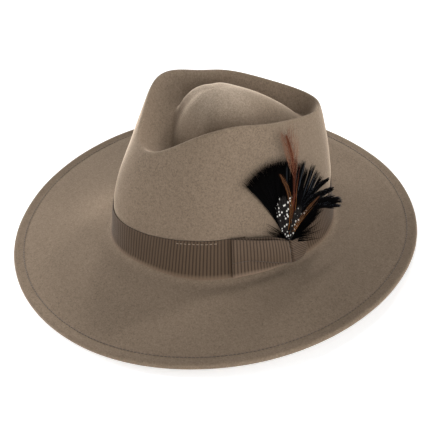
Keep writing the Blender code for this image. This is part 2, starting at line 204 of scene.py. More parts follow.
class Surface:
    """A node material with a Principled shader and short ways to build its inputs."""

    def __init__(self, name, **sockets):
        self.material = bpy.data.materials.new(name)
        self.material.use_nodes = True
        self.nodes = self.material.node_tree.nodes
        self.links = self.material.node_tree.links
        self.shader = self.nodes["Principled BSDF"]
        for socket, value in sockets.items():
            self.shader.inputs[socket.replace("_", " ")].default_value = value
        self.where = self.nodes.new("ShaderNodeTexCoord").outputs["Object"]
        self.flat = self.nodes.new("ShaderNodeUVMap").outputs["UV"]

    def link(self, source, target):
        self.links.new(source, self.shader.inputs[target])

    def noise(self, scale, detail=3.0, roughness=0.6, stretch=None, flat=False):
        node = self.nodes.new("ShaderNodeTexNoise")
        node.inputs["Scale"].default_value = scale
        node.inputs["Detail"].default_value = detail
        node.inputs["Roughness"].default_value = roughness
        source = self.flat if flat else self.where
        if stretch:
            source = self.stretched(source, stretch)
        self.links.new(source, node.inputs["Vector"])
        return node.outputs["Fac"]

    def stretched(self, source, scale):
        node = self.nodes.new("ShaderNodeMapping")
        node.inputs["Scale"].default_value = scale
        self.links.new(source, node.inputs["Vector"])
        return node.outputs["Vector"]

    def math(self, operation, first, second=0.5, third=0.5):
        node = self.nodes.new("ShaderNodeMath")
        node.operation = operation
        for socket, value in zip(node.inputs, (first, second, third)):
            if isinstance(value, (int, float)):
                socket.default_value = value
            else:
                self.links.new(value, socket)
        return node.outputs["Value"]

    def part(self, vector, axis):
        node = self.nodes.new("ShaderNodeSeparateXYZ")
        self.links.new(vector, node.inputs[0])
        return node.outputs[axis]

    def wave(self, value, pitch):
        """A sine from 0 to 1 along value with that pitch."""
        angle = self.math("MULTIPLY", value, math.tau / pitch)
        return self.math("MULTIPLY_ADD", self.math("SINE", angle), 0.5, 0.5)

    def ramp(self, value, *stops):
        node = self.nodes.new("ShaderNodeValToRGB")
        elements = node.color_ramp.elements
        while len(elements) < len(stops):
            elements.new(0.5)
        for element, (position, colour) in zip(elements, stops):
            element.position = position
            element.color = colour
        self.links.new(value, node.inputs["Fac"])
        return node.outputs["Color"]

    def mix(self, factor, first, second, blend="MIX"):
        node = self.nodes.new("ShaderNodeMix")
        node.data_type = "RGBA"
        node.blend_type = blend
        for socket, value in (("Factor", factor), ("A", first), ("B", second)):
            target = [s for s in node.inputs if s.name == socket and s.type in ("VALUE", "RGBA")]
            target = target[0] if socket == "Factor" else [s for s in target if s.type == "RGBA"][0]
            if isinstance(value, (int, float, tuple)):
                target.default_value = value
            else:
                self.links.new(value, target)
        return [s for s in node.outputs if s.type == "RGBA"][0]

    def bump(self, height, distance, strength=1.0, under=None):
        node = self.nodes.new("ShaderNodeBump")
        node.inputs["Strength"].default_value = strength
        node.inputs["Distance"].default_value = distance
        self.links.new(height, node.inputs["Height"])
        if under is not None:
            self.links.new(under, node.inputs["Normal"])
        self.link(node.outputs["Normal"], "Normal")
        return node.outputs["Normal"]


def grey(value):
    return (value, value, value, 1.0)


def felt_material():
    surface = Surface("felt_wool", Roughness=0.92, Sheen_Weight=0.9, Sheen_Roughness=0.32)
    surface.shader.inputs["Specular IOR Level"].default_value = 0.15
    surface.shader.inputs["Sheen Tint"].default_value = srgb(205, 188, 168)
    speck = surface.noise(700, 5, 0.85)
    mottle = surface.noise(260, 4, 0.75)
    cloud = surface.noise(14, 3, 0.5)
    dark, light = srgb(85, 73, 60), srgb(137, 120, 103)
    base = surface.ramp(speck, (0.32, dark), (0.68, light))
    base = surface.mix(0.16, base, surface.ramp(mottle, (0.32, dark), (0.68, light)))
    base = surface.mix(0.07, base, surface.ramp(cloud, (0.30, dark), (0.70, light)))
    # Painted highlight: the top of the crown's raised middle (above 121-141 mm, round x -10 mm, y 19 mm) is
    # lightened, so its lower sides read darker.
    height = surface.ramp(surface.part(surface.where, 2), (0.121, grey(0)), (0.141, grey(1)))
    east, north = surface.part(surface.where, 0), surface.part(surface.where, 1)
    east = surface.math("ADD", east, 0.010)
    north = surface.math("SUBTRACT", north, 0.0190)
    apart = surface.math("ADD", surface.math("MULTIPLY", east, east), surface.math("MULTIPLY", north, north))
    near = surface.ramp(apart, (0.0010, grey(1)), (0.0024, grey(0)))
    bump_top_painted_highlight_mask = surface.math("MULTIPLY", height, near)
    painted_highlight_tint = surface.mix(1.0, base, (1.5, 1.60, 1.70, 1), "MULTIPLY")
    base = surface.mix(bump_top_painted_highlight_mask, base, painted_highlight_tint)
    surface.link(base, "Base Color")
    fibre = surface.noise(1500, 3, 0.7, stretch=(1.0, 0.35, 1.0))
    first = surface.bump(fibre, 0.00012, 0.6)
    surface.bump(mottle, 0.0006, 0.35, first)
    return surface.material


def ribbon_material(name, shade):
    """Grosgrain: the ribs are modelled, and the shader adds the cross threads, paints the ribs light on
    their crests and dark in their troughs as painted shade, and paints a highlight along the lower selvage.
    """
    surface = Surface(name, Roughness=0.7, Sheen_Weight=0.08, Sheen_Roughness=0.4)
    surface.shader.inputs["Specular IOR Level"].default_value = 0.2
    along, across = surface.part(surface.flat, 0), surface.part(surface.flat, 1)
    rib = surface.wave(along, RIB_PITCH)
    thread = surface.wave(across, 0.00055)
    fuzz = surface.noise(1400, 3, 0.7)
    # Painted shade: the colour follows the modelled ribs, light on their crests and dark in the troughs
    # between them.
    base = surface.ramp(rib, (0.08, srgb(50, 39, 30)), (0.60, srgb(95, 78, 63)))
    base = surface.mix(0.25, base, surface.ramp(fuzz, (0.3, srgb(58, 45, 36)), (0.7, srgb(92, 75, 60))))
    # Painted highlight: a light line along the ribbon's lower selvage, where the across count is under 1.4
    # mm.
    edge = surface.ramp(across, (0.0005, grey(1)), (0.0014, grey(0)))
    base = surface.mix(edge, base, srgb(122, 103, 87))
    # shade multiplies the ribbon's whole colour; the band's copy is darkened with it as painted shade.
    surface.link(surface.mix(1.0, base, shade, "MULTIPLY"), "Base Color")
    first = surface.bump(thread, 0.00008, 0.5)
    surface.bump(fuzz, 0.0001, 0.3, first)
    return surface.material


def thread_material(name, colour):
    surface = Surface(name, Roughness=0.55, Sheen_Weight=0.2)
    twist = surface.noise(2600, 2, 0.5, stretch=(1, 1, 3))
    shade = tuple(0.6 * channel for channel in colour[:3]) + (1,)
    surface.link(surface.ramp(twist, (0.3, shade), (0.7, colour)), "Base Color")
    surface.bump(twist, 0.00006, 0.6)
    return surface.material


def leather_material():
    surface = Surface("sweatband_leather", Roughness=0.5, Coat_Weight=0.08, Coat_Roughness=0.3)
    pores = surface.noise(1300, 3, 0.6)
    creases = surface.noise(260, 4, 0.6)
    base = surface.ramp(creases, (0.3, srgb(84, 55, 36)), (0.7, srgb(112, 77, 52)))
    surface.link(base, "Base Color")
    first = surface.bump(pores, 0.0001, 0.5)
    surface.bump(creases, 0.0003, 0.4, first)
    return surface.material


def satin_material():
    surface = Surface("satin_lining", Roughness=0.32, Sheen_Weight=0.3, Anisotropic=0.5)
    weave = surface.noise(1800, 2, 0.5, stretch=(1, 1, 0.15))
    base = surface.ramp(weave, (0.3, srgb(128, 113, 96)), (0.7, srgb(158, 142, 124)))
    surface.link(base, "Base Color")
    surface.bump(weave, 0.00006, 0.5)
    return surface.material


def label_material():
    surface = Surface("woven_label", Roughness=0.6, Sheen_Weight=0.2)
    weft = surface.wave(surface.part(surface.where, 2), 0.0006)
    base = surface.ramp(weft, (0.2, srgb(196, 186, 168)), (0.8, srgb(214, 206, 190)))
    surface.link(base, "Base Color")
    surface.bump(weft, 0.00008, 0.6)
    return surface.material


def steel_material():
    surface = Surface("brim_wire_steel", Roughness=0.35, Metallic=1.0)
    drawn = surface.noise(700, 3, 0.6)
    surface.link(surface.ramp(drawn, (0.3, grey(0.42)), (0.7, grey(0.58))), "Base Color")
    surface.bump(drawn, 0.00003, 0.3)
    return surface.material


def plastic_material():
    surface = Surface("reed_plastic", Roughness=0.45)
    grain = surface.noise(900, 2, 0.5)
    surface.link(surface.ramp(grain, (0.3, srgb(218, 212, 198)), (0.7, srgb(232, 227, 215))), "Base Color")
    surface.bump(grain, 0.00005, 0.3)
    return surface.material


def black_feather_material():
    """UV: along the barb (0 to 1) and a random number for each barb."""
    surface = Surface("black_feather_barbs", Roughness=0.6)
    surface.shader.inputs["Specular IOR Level"].default_value = 0.012
    along = surface.part(surface.flat, 0)
    pick = surface.part(surface.flat, 1)
    # Painted sheen: the last, grey-blue stop lights the outer ends of the biots' barbs and the few
    # side-clump barbs whose number passes 0.9.
    body = surface.ramp(pick, (0.30, srgb(2, 2, 2)), (0.90, srgb(9, 8, 9)), (0.95, srgb(58, 62, 68)))
    tip = surface.ramp(along, (0.80, srgb(255, 255, 255)), (1.0, srgb(255, 235, 220)))
    surface.link(surface.mix(1.0, body, tip, "MULTIPLY"), "Base Color")
    surface.bump(pick, 0.00005, 0.3)
    return surface.material


def brown_feather_material(name, middle, edge, tip, turn=0.18):
    """UV: along the feather (0 to 1) and across it from its quill (0) to its edge (1)."""
    surface = Surface(name, Roughness=0.6)
    surface.shader.inputs["Specular IOR Level"].default_value = 0.1
    along, across = surface.part(surface.flat, 0), surface.part(surface.flat, 1)
    uneven = surface.math("MULTIPLY_ADD", surface.noise(900, 3, 0.6), 0.5, -0.25)
    side = surface.math("ADD", across, uneven)
    base = surface.ramp(side, (turn, middle), (turn + 0.3, edge))
    base = surface.mix(surface.math("POWER", along, 2.2), base, tip)
    surface.link(base, "Base Color")
    surface.bump(surface.noise(1500, 2, 0.5), 0.00005, 0.3)
    return surface.material


def guinea_material():
    """White spots on near black. UV: the place in the trim's plane, in millimetres."""
    surface = Surface("guinea_feather_barbs", Roughness=0.6)
    surface.shader.inputs["Specular IOR Level"].default_value = 0.1
    cells = surface.nodes.new("ShaderNodeTexVoronoi")
    cells.inputs["Scale"].default_value = 0.36
    cells.inputs["Randomness"].default_value = 0.55
    surface.links.new(surface.stretched(surface.flat, (1.15, 0.85, 1)), cells.inputs["Vector"])
    spots = surface.ramp(cells.outputs["Distance"], (0.25, grey(1)), (0.35, grey(0)))
    fleck = surface.noise(0.9, 3, 0.6, flat=True)
    ground = surface.ramp(fleck, (0.40, srgb(7, 6, 6)), (0.75, srgb(38, 32, 29)))
    surface.link(surface.mix(spots, ground, srgb(228, 226, 220)), "Base Color")
    surface.bump(surface.noise(1500, 2, 0.5), 0.00005, 0.3)
    return surface.material


# ---------------------------------------------------------------- mesh helpers
def make(name, vertices, faces, material, uvs=None, smooth=True):
    data = bpy.data.meshes.new(name)
    data.from_pydata(np.asarray(vertices).reshape(-1, 3).tolist(), [], [tuple(f) for f in faces])
    if uvs is not None:
        layer = data.uv_layers.new(name="UVMap")
        loops = np.empty(len(data.loops), dtype=np.int64)
        data.loops.foreach_get("vertex_index", loops)
        layer.data.foreach_set("uv", np.asarray(uvs, float).reshape(-1, 2)[loops].ravel())
    data.materials.append(material)
    if smooth:
        data.shade_smooth()
    data.validate()
    made = bpy.data.objects.new(name, data)
    bpy.context.scene.collection.objects.link(made)
    return made


def grid_normals(grid, wrap):
    down = np.gradient(grid, axis=0)
    if wrap:
        ring = np.concatenate([grid[:, -1:], grid, grid[:, :1]], axis=1)
        across = np.gradient(ring, axis=1)[:, 1:-1]
    else:
        across = np.gradient(grid, axis=1)
    normal = np.cross(across, down)
    return normal / np.maximum(np.linalg.norm(normal, axis=-1)[..., None], 1e-12)


def shell(name, grid, thickness, material, wrap=False, uv=None, relief=None, flip=False):
    """A closed sheet around a grid of points (rows, columns). Relief lifts its outer face."""
    rows, columns = grid.shape[:2]
    normal = grid_normals(grid, wrap) * (-1 if flip else 1)
    lift = 0 if relief is None else relief[..., None]
    outer = grid + normal * (thickness / 2 + lift)
    inner = grid - normal * (thickness / 2)
    count = rows * columns
    faces = []
    spans = columns if wrap else columns - 1
    for row in range(rows - 1):
        for column in range(spans):
            a, b = row * columns + column, row * columns + (column + 1) % columns
            c, d = b + columns, a + columns
            faces.append((a, d, c, b) if flip else (a, b, c, d))
            a, b, c, d = (index + count for index in (a, b, c, d))
            faces.append((a, b, c, d) if flip else (a, d, c, b))
    for row, turn in ((0, False), (rows - 1, True)):
        for column in range(spans):
            a, b = row * columns + column, row * columns + (column + 1) % columns
            face = (a, b, b + count, a + count)
            faces.append(face if turn != flip else face[::-1])
    if not wrap:
        for column, turn in ((0, True), (columns - 1, False)):
            for row in range(rows - 1):
                a, b = row * columns + column, (row + 1) * columns + column
                face = (a, b, b + count, a + count)
                faces.append(face if turn != flip else face[::-1])
    points = np.concatenate([outer.reshape(-1, 3), inner.reshape(-1, 3)])
    uvs = None if uv is None else np.concatenate([uv.reshape(-1, 2)] * 2)
    return make(name, points, faces, material, uvs)


def strand_arrays(paths, half_widths, half_depths, facing, uvs, sides=4):
    """Points, faces and UVs of tapered flat strands.

    paths: (strands, points, 3); facing: the normal of their flat side.
    """
    count, steps = paths.shape[:2]
    course = np.gradient(paths, axis=1)
    course /= np.maximum(np.linalg.norm(course, axis=-1)[..., None], 1e-12)
    side = np.cross(course, facing)
    side /= np.maximum(np.linalg.norm(side, axis=-1)[..., None], 1e-12)
    up = np.cross(side, course)
    turns = np.arange(sides) * math.tau / sides
    points = (
        paths[:, :, None]
        + side[:, :, None] * (half_widths[..., None, None] * np.cos(turns)[:, None])
        + up[:, :, None] * (half_depths[..., None, None] * np.sin(turns)[:, None])
    )
    faces = []
    for strand in range(count):
        start = strand * steps * sides
        for step in range(steps - 1):
            for k in range(sides):
                a = start + step * sides + k
                b = start + step * sides + (k + 1) % sides
                faces.append((a, a + sides, b + sides, b))
        faces.append(tuple(start + k for k in range(sides)))
        faces.append(tuple(start + (steps - 1) * sides + k for k in reversed(range(sides))))
    return points.reshape(-1, 3), faces, np.repeat(uvs[:, :, None], sides, axis=2).reshape(-1, 2)


def strands(name, groups, material):
    """One piece from several sets of strand_arrays."""
    points, faces, uvs = [], [], []
    for group_points, group_faces, group_uvs in groups:
        start = sum(len(block) for block in points)
        points.append(group_points)
        faces += [tuple(index + start for index in face) for face in group_faces]
        uvs.append(group_uvs)
    return make(name, np.concatenate(points), faces, material, np.concatenate(uvs))


def dress(piece, body, slot, *nodes):
    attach(piece, body)
    if nodes:
        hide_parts(*nodes)
    return piece


def smooth_step(value, start, end):
    share = np.clip((value - start) / (end - start), 0, 1)
    return share * share * (3 - 2 * share)


# ---------------------------------------------------------------- felt body
def profile_params():
    """Where the felt's section is read: closely over the crest, the break and the hem."""
    counts = [4] * 5 + [6] * 5 + [5] * 4 + [7] * 3 + [6] * 10
    params = []
    for start, count in enumerate(counts):
        params += [start + step / count for step in range(count)]
    return params + [len(counts)]


def hand_shaping(points):
    """Small unevenness of a hand-blocked hat, as a distance along the felt's normal."""
    x, y, z = points[..., 0], points[..., 1], points[..., 2]
    first = np.sin(47 * x + 1.3) * np.sin(39 * y + 0.4) * np.cos(53 * z)
    second = np.sin(91 * x - 60 * y + 2.0) * np.cos(80 * z + 31 * y)
    return 0.00022 * first + 0.00012 * second


def capped(name, centre, outer, inner, material):
    """A closed body round the hat's middle: a skin of rings from its centre, and the skin under it."""
    rows, columns = outer.shape[:2]
    faces = []

    def index(skin, row, column):
        return 2 + skin * rows * columns + row * columns + column % columns

    for column in range(columns):
        faces.append((0, index(0, 0, column), index(0, 0, column + 1)))
        faces.append((1, index(1, 0, column + 1), index(1, 0, column)))
        for row in range(rows - 1):
            faces.append((index(0, row, column), index(0, row + 1, column),
                          index(0, row + 1, column + 1), index(0, row, column + 1)))
            faces.append((index(1, row, column), index(1, row, column + 1),
                          index(1, row + 1, column + 1), index(1, row + 1, column)))
        faces.append((index(0, rows - 1, column), index(1, rows - 1, column),
                      index(1, rows - 1, column + 1), index(0, rows - 1, column + 1)))
    points = np.concatenate([centre, outer.reshape(-1, 3), inner.reshape(-1, 3)])
    return make(name, points, faces, material)


def felt_body(material):
    angles = math.tau * np.arange(288) / 288
    params = profile_params()
    grid = spline(felt_cage(angles), params)
    normal = grid_normals(grid[1:], True)
    flat_to_floor = np.clip((grid[1:, :, 2] - 0.001) / 0.010, 0, 1)
    inner = grid[1:] + normal * (FELT - hand_shaping(grid[1:]) * flat_to_floor)[..., None]
    steps = np.linalg.norm(np.diff(grid[1:], axis=0, prepend=grid[:1]), axis=-1)
    along = np.cumsum(steps, axis=0)
    heights = along[np.searchsorted(params, BREAK_INDEX) - 1] - along
    pinch = band_pinch(np.degrees(angles)[None, :], heights)
    outer = inner - normal * (FELT - pinch)[..., None]
    centre = [grid[0, 0], grid[0, 0] - np.array([0, 0, FELT])]
    piece = capped("felt_hat_body", centre, outer, inner, material)
    return dress(piece, "hat", "felt", "felt_body")


def hem_line(degrees, inset, height):
    angles = np.radians(degrees)
    edge, base = edge_points(angles), break_points(angles)
    inward = with_height(base - edge, 0)
    inward /= np.linalg.norm(inward, axis=1)[:, None]
    return with_height(edge + inward * inset, edge[:, 2] + height)


def stitches(name, line, radius, gap_share, sink, material, facing):
    """Short stitches along a closed or open line of points: each dips into the cloth at its ends."""
    count = len(line) - 1
    facing = np.broadcast_to(facing, (count, 3))[:, None]
    shares = np.linspace(gap_share, 1 - gap_share, 7)[:, None]
    paths = line[:-1, None] + (line[1:] - line[:-1])[:, None] * shares
    paths = paths - facing * (sink * (2 * np.linspace(0, 1, 7) - 1) ** 4)[:, None]
    taper = radius * (1 - 0.6 * (2 * np.linspace(0, 1, 7) - 1) ** 6)
    widths = np.repeat(taper[None], count, axis=0)
    uvs = np.zeros((count, 7, 2))
    return strands(name, [strand_arrays(paths, widths, widths, facing, uvs, sides=6)], material)


def hem_stitching(material):
    degrees = np.linspace(0, 360, 341)
    half = HEM_THICKNESS / 2
    upper = hem_line(degrees, STITCH_INSET, half - 0.00060)
    piece = stitches("hem_top_stitches", upper, 0.00038, 0.08, 0.0006, material, np.array([0, 0, 1.0]))
    dress(piece, "hat", "thread", "hem_needle_thread")
    lower = hem_line(degrees, STITCH_INSET, -half + STITCH_SINK * 0.75)
    piece = stitches("hem_under_stitches", lower, 0.00028, 0.10, 0.0005, material, np.array([0, 0, -1.0]))
    dress(piece, "hat", "thread", "hem_bobbin_thread")


# ---------------------------------------------------------------- ribbon and bow
RIB_PITCH = 0.0029
RIBBON = 0.0006
BOW_FOLD, BOW_PINCH, BOW_TAIL_END = 77.0, 105.5, 118.0
BAND_LOW = 0.0005
BAND_TOP = (
    (0, 17, 30, 45, 56, 66, 75, 112, 150, 200, 300, 345, 360),
    (0.0315, 0.0310, 0.0312, 0.0338, 0.0360, 0.0366, 0.0370, 0.0335, 0.0305, 0.0305, 0.0325, 0.0320, 0.0315),
)
BAND_PINCH = 0.0009
PLEAT_LIFT = 0.0036
TAIL_LOW_EDGE = (105.5, 110.9, 114.0, 115.8, 117.0, 118.0), (-0.0008, -0.0012, 0.0, 0.0016, 0.0034, 0.0060)


def band_pinch(degrees, heights):
    """How far the tight band presses into the felt at an angle and a height up the wall."""
    top = np.interp(degrees, *BAND_TOP)
    above = smooth_step(heights, top + 0.0003, top + 0.0050)
    return BAND_PINCH * smooth_step(heights, -0.002, 0.003) * (1 - above)


def lengths_along(grid):
    """Distance along each row from the first column, measured on the middle row."""
    middle = grid[len(grid) // 2]
    steps = np.linalg.norm(np.diff(middle, axis=0), axis=-1)
    return np.concatenate([[0], np.cumsum(steps)])


def ribbed(name, grid, material, thickness=RIBBON, amplitude=0.00016, flip=False):
    """A grosgrain ribbon over a grid of rows (across) and columns (along) with its ribs modelled."""
    along = lengths_along(grid)
    middle = grid[:, grid.shape[1] // 2]
    across = np.concatenate([[0], np.cumsum(np.linalg.norm(np.diff(middle, axis=0), axis=-1))])
    share = np.linspace(0, 1, len(grid))[:, None]
    selvage = np.clip(np.minimum(share, 1 - share) / 0.035, 0, 1)
    ribs = amplitude * (0.5 + 0.5 * np.sin(math.tau * along / RIB_PITCH))[None, :] * selvage
    relief = ribs + amplitude * 0.9 * (1 - selvage)
    uv = np.stack(np.broadcast_arrays(along[None, :], across[:, None]), -1)
    return shell(name, grid, thickness, material, uv=uv, relief=relief, flip=flip)


def hatband(material):
    degrees = np.linspace(112, 84 + 360, 1300)
    rows = np.array([0, 0.012, 0.03, 0.06, 0.2, 0.4, 0.6, 0.8, 0.94, 0.97, 0.988, 1])
    top = np.interp(degrees % 360, *BAND_TOP)
    heights = BAND_LOW + (top - BAND_LOW) * rows[:, None]
    out = 0.0004 + RIBBON / 2 - band_pinch(degrees % 360, heights)
    grid = wall(np.broadcast_to(degrees % 360, heights.shape), heights, out)
    piece = ribbed("hatband_ribbon", grid, material)
    dress(piece, "hat", "ribbon", "hatband")
    return grid


def band_tacks(material):
    degrees = np.linspace(48, 70, 11)
    heights = np.interp(degrees, *BAND_TOP) - 0.0026
    line = wall(degrees, heights, 0.0004 + RIBBON + 0.00035 - BAND_PINCH)
    facing = outward(np.radians([58.0]))[0]
    piece = stitches("band_tack_stitches", line, 0.00040, 0.20, 0.0006, material, facing)
    dress(piece, "hat", "thread", "band_tack_thread")


def bow_loop(material):
    """A ribbon folded back on itself at the front; its outer layer has one pleat into the pinch."""
    width = 0.0380
    share = np.concatenate([np.linspace(1, 0.02, 120), np.zeros(13), np.linspace(0.02, 1, 150)])
    degrees = BOW_FOLD + (BOW_PINCH - BOW_FOLD) * share
    inner_out = 0.0019 + 0.0034 * share**2
    outer_out = 0.0042 + 0.0022 * share
    tuck = 0.0040 * smooth_step(share, 0.93, 1.0)
    is_outer = np.arange(len(share)) > 126
    out = np.where(is_outer, outer_out - tuck, inner_out)
    turn = np.linspace(-math.pi / 2, math.pi / 2, 13)
    out[120:133] = 0.00305 + 0.00115 * np.sin(turn)
    degrees[120:133] = BOW_FOLD + 0.02 * 28.5 - 0.75 * np.cos(turn)
    top = np.interp(share, (0, 0.69, 0.85, 0.95, 1), (0.0380, 0.0313, 0.0283, 0.0252, 0.0231))
    overlap = (width - top) / 2
    crease = np.interp(degrees, (85.3, 91.5, 99.1, 101.3, 105.5), (0.0158, 0.0127, 0.0069, 0.0045, 0.0022))
    panel_rows, turn_rows = 16, 4
    low = np.linspace(0, 1, panel_rows)[:, None]
    bottom = 0.0004 * np.sin(share * 9) + BAND_LOW
    lower = bottom + (crease + overlap - bottom) * low
    back = crease + overlap - overlap * np.linspace(0, 1, turn_rows + 2)[1:-1, None]
    upper = crease + (top - crease) * low
    heights = np.concatenate([lower, back, upper])
    layer = np.concatenate([np.zeros(panel_rows), np.linspace(0.15, 0.85, turn_rows), np.ones(panel_rows)])
    billow = 0.0016 * np.sin(math.pi * low) * share
    puff = np.concatenate([billow * 0.3, np.zeros((turn_rows, 1)) * share, billow])
    pleat = layer[:, None] * PLEAT_LIFT * smooth_step(share, 0.10, 0.7)
    lift = is_outer * (pleat + puff * (1 - smooth_step(share, 0.93, 1.0)))
    grid = wall(np.broadcast_to(degrees, heights.shape), heights, out + lift)
    piece = ribbed("bow_loop_ribbon", grid, material, thickness=0.0005, flip=False)
    dress(piece, "hat", "ribbon", "bow_loop")


def bow_tail(material):
    """The short end behind the pinch: soft pleats fan out of it, and its ribs run slantwise."""
    degrees = np.linspace(BOW_PINCH + 0.25, BOW_TAIL_END, 110)
    share = np.linspace(0, 1, 110)
    low = np.interp(degrees, *TAIL_LOW_EDGE)
    high = 0.0232 - 0.0055 * share
    rows = np.linspace(0, 1, 40)[:, None]
    heights = low + (high - low) * rows
    ridge = 0.0005 * np.sin(rows * 3.0 * math.tau + 0.6) * (1 - 0.6 * share)
    tuck = 0.0040 * (1 - smooth_step(share, 0.0, 0.14))
    out = 0.0068 - 0.0052 * np.sin(share * math.pi / 2) + ridge - tuck
    grid = wall(np.broadcast_to(degrees, heights.shape), heights, out)
    rear = lengths_along(grid)[None, :]
    along = 0.66 * rear + 0.75 * heights + 0.0015 * share
    pitch_scale = RIB_PITCH / 0.0021
    phase = along * pitch_scale
    relief = 0.00014 * (0.5 + 0.5 * np.sin(math.tau * phase / RIB_PITCH))
    # The across count starts at 3 mm, so the ribbon's painted selvage highlight stays off the tail.
    uv = np.stack([phase, np.broadcast_to(0.003 + rows * 0.021, phase.shape)], -1)
    piece = shell("bow_tail_ribbon", grid, 0.0005, material, uv=uv, relief=relief)
    dress(piece, "hat", "ribbon", "bow_tail")


# ---------------------------------------------------------------- feather trim
TRIM_ANGLE, TRIM_HEIGHT, TRIM_LEAN_HEIGHT = 106.5, 0.0200, 0.0600
FEATHER_START, FEATHER_PITCH = 0.0010, 0.0004
# black clumps behind the fan: lean in degrees, reach in mm, half spread in degrees
SIDE_CLUMPS = (
    (12, 74, 2.2), (17, 73.5, 2.0), (21, 70, 1.7), (25, 72, 1.8),
    (29.5, 66, 2.2), (35, 69.5, 2.0), (41, 66, 2.4), (47, 64, 2.0),
)
# single barbs drawn along the brown feathers: start, bend and end in the trim's plane, mm
TALL_STREAKS = (
    ((8, 26), (15, 44), (16, 68)), ((9, 28), (17, 46), (20, 72)), ((10, 30), (19, 46), (24, 68)),
)
FRONT_EDGES = (
    ((1, 6), (16.2, 36), (4.6, 65)), ((-0.5, 7), (13.4, 36), (2.6, 62)), ((3, 8), (14, 24), (19.7, 64)),
)
REAR_EDGES = (
    ((1, 4), (10, 19), (37, 29)), ((2, 3), (13, 15), (38, 25.5)), ((2, 4), (12, 17), (35, 27)),
)


def trim_frame():
    root = wall(TRIM_ANGLE, TRIM_HEIGHT)
    up = wall(TRIM_ANGLE, TRIM_LEAN_HEIGHT) - root
    up /= np.linalg.norm(up)
    side = wall(TRIM_ANGLE + 1, TRIM_HEIGHT) - wall(TRIM_ANGLE - 1, TRIM_HEIGHT)
    rearward = side - up * (side @ up)
    rearward /= np.linalg.norm(rearward)
    return root, rearward, up, np.cross(rearward, up)


TRIM_ROOT, TRIM_REAR, TRIM_UP, TRIM_AWAY = trim_frame()


def in_trim(points, out):
    """Trim-plane millimetres (rearward, up) and millimetres off the crown, made into world points."""
    points, out = np.asarray(points, float) / 1000, np.asarray(out, float)[..., None] / 1000
    return TRIM_ROOT + points[..., :1] * TRIM_REAR + points[..., 1:] * TRIM_UP + out * TRIM_AWAY


def bend_between(start, bend, end, share):
    """Points of a quadratic curve; start, bend and end may be one point or one per share."""
    share = np.asarray(share)[..., None]
    return start * (1 - share) ** 2 + 2 * bend * share * (1 - share) + end * share**2


def turned(vectors, degrees):
    angle = np.radians(degrees)
    x, y = vectors[..., 0], vectors[..., 1]
    return np.stack([x * np.cos(angle) + y * np.sin(angle), y * np.cos(angle) - x * np.sin(angle)], -1)


def vane_barbs(bend, tip, half_width, widest, spacing, slant, start=0.12, ragged=0.06, steps=7, lift=0.25):
    """The barbs on both sides of a quill: paths in the trim plane, their lift and two texture numbers."""
    bend, tip = np.array(bend, float), np.array(tip, float)
    length = np.linalg.norm(bend) * 0.5 + np.linalg.norm(tip - bend) * 0.5 + np.linalg.norm(tip) * 0.25
    share = np.repeat(np.linspace(start, 0.985, max(int(length * (1 - start) / spacing), 3)), 2)
    sign = np.tile([1.0, -1.0], len(share) // 2)
    share = np.clip(share + RNG.uniform(-0.4, 0.4, len(share)) * spacing / length, 0, 1)
    quill = bend_between(np.zeros(2), bend, tip, share)
    course = bend * (1 - 2 * share)[:, None] + tip * share[:, None]
    course /= np.linalg.norm(course, axis=1)[:, None]
    rise = np.sin(math.pi / 2 * np.minimum((share - start) / (widest - start), 1))
    fall = np.cos(math.pi / 2 * np.maximum((share - widest) / (1 - widest), 0))
    reach = half_width * (0.25 + 0.75 * rise) * (0.12 + 0.88 * fall**0.7) / math.sin(math.radians(slant))
    reach = reach * (1 + RNG.normal(0, ragged, len(share)))
    first = turned(course, sign * (slant + 14)) * (reach * 0.5)[:, None]
    last = turned(course, sign * (slant - 6 + RNG.normal(0, 3, len(share)))) * reach[:, None]
    q = np.linspace(0, 1, steps)
    along = np.broadcast_to(q, (len(share), steps))
    paths = quill[:, None] + bend_between(np.zeros(2), first[:, None], last[:, None], along)
    out = RNG.uniform(0, lift, (len(share), 1))
    out = out + lift * 1.5 * q[None, :] ** 2 * RNG.uniform(-0.2, 1, (len(share), 1))
    u = np.clip(share[:, None] + 0 * q, 0, 1)
    v = np.broadcast_to(q, (len(share), steps))
    return paths, out, np.stack([u, v], -1)


def fan_barbs(first, last, radius, count, ragged, steps=9, spread=0.55, lift=0.6, most_grey=0.9):
    """Barbs that leave a short quill and fan out to a rim; radius gives the rim at each lean."""
    lean = np.linspace(first, last, count) + RNG.normal(0, 0.5, count)
    reach = radius(lean) * (1 - np.abs(RNG.normal(0, ragged, count)))
    origin_share = RNG.uniform(0.02, spread, count)
    middle = (first + last) / 2
    quill = turned(np.array([[0.0, 1.0]]), np.array([middle]))[0]
    start = quill * (origin_share * reach * 0.45)[:, None]
    end = turned(np.tile([0.0, 1.0], (count, 1)), lean) * reach[:, None]
    span = np.linalg.norm(end - start, axis=1)[:, None]
    bend = start + (quill * 0.55 + 0.45 * (end - start) / span) * span * 0.5
    q = np.linspace(0, 1, steps)
    paths = bend_between(start[:, None], bend[:, None], end[:, None], np.broadcast_to(q, (count, steps)))
    out = RNG.uniform(0, lift, (count, 1)) * (0.3 + 0.7 * q) + 0.4 * q**2 * RNG.normal(0, 0.5, (count, 1))
    u = np.broadcast_to(q, (count, steps))
    v = np.broadcast_to(RNG.uniform(0, most_grey, (count, 1)), (count, steps))
    return paths, out, np.stack([u, v], -1)


